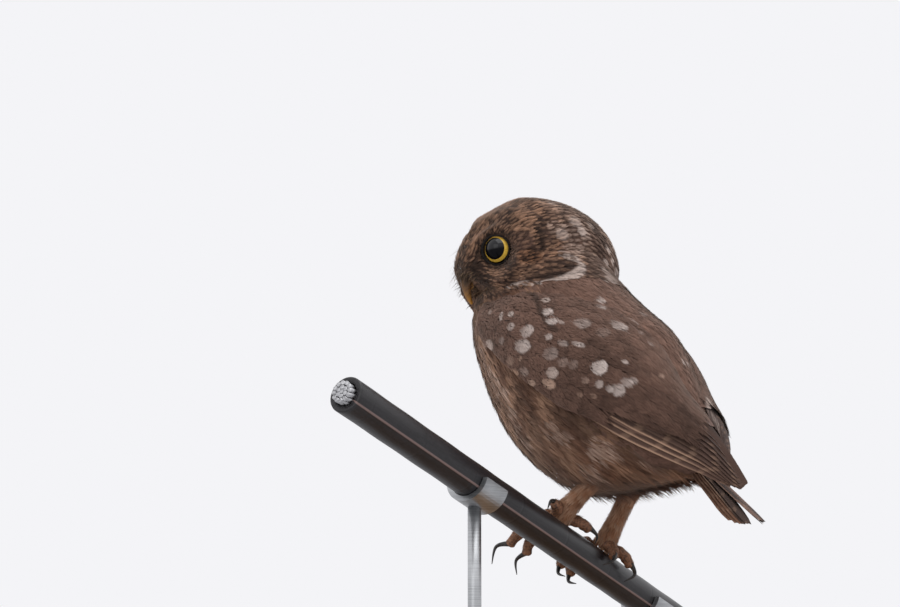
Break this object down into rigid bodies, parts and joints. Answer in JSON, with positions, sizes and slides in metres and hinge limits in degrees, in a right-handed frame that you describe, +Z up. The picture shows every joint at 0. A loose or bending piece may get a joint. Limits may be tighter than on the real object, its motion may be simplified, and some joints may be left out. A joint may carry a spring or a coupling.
{
  "type": "little owl",
  "caption": "Life-size little owl looking over its shoulder, gripping a short sloping length of black cable held on rods above a flat wooden base.",
  "frame": {"origin": "centre of the flat underside of the wooden base", "axes": "+Z up, away from the underside; the owl's body faces -Y, with its left side towards +X"},
  "size_m": [0.3072, 0.1546, 0.2608],
  "materials": {
    "plumage": "matt sooty brown feathering",
    "pale_plumage": "matt buff and brown feathering",
    "bill": "satin horn",
    "eye": "polished yellow iris with a black pupil",
    "toes": "bristly, matt",
    "claw": "satin horn",
    "cable": "satin black jacket",
    "conductor": "cut metal",
    "base": "satin",
    "rod": "brushed"
  },
  "bodies": {
    "root": {"bill_lower": "bill", "bill_upper": "bill", "claw_left_1": "claw", "claw_left_2": "claw", "claw_left_3": "claw", "claw_left_4": "claw", "claw_right_1": "claw", "claw_right_2": "claw", "claw_right_3": "claw", "claw_right_4": "claw", "eye_left": "eye", "eye_right": "eye", "head": "plumage", "leg_left": "toes", "leg_right": "toes", "neck": "plumage", "perch_core": "conductor", "perch_jacket": "cable", "stand_base": "base", "stand_rod_1": "rod", "stand_rod_2": "rod", "stand_saddle_1": "rod", "stand_saddle_2": "rod", "tail": "plumage", "toe_left_1": "toes", "toe_left_2": "toes", "toe_left_3": "toes", "toe_left_4": "toes", "toe_right_1": "toes", "toe_right_2": "toes", "toe_right_3": "toes", "toe_right_4": "toes", "torso": "pale_plumage", "wing_left": "plumage", "wing_right": "plumage"}
  },
  "joints": []
}
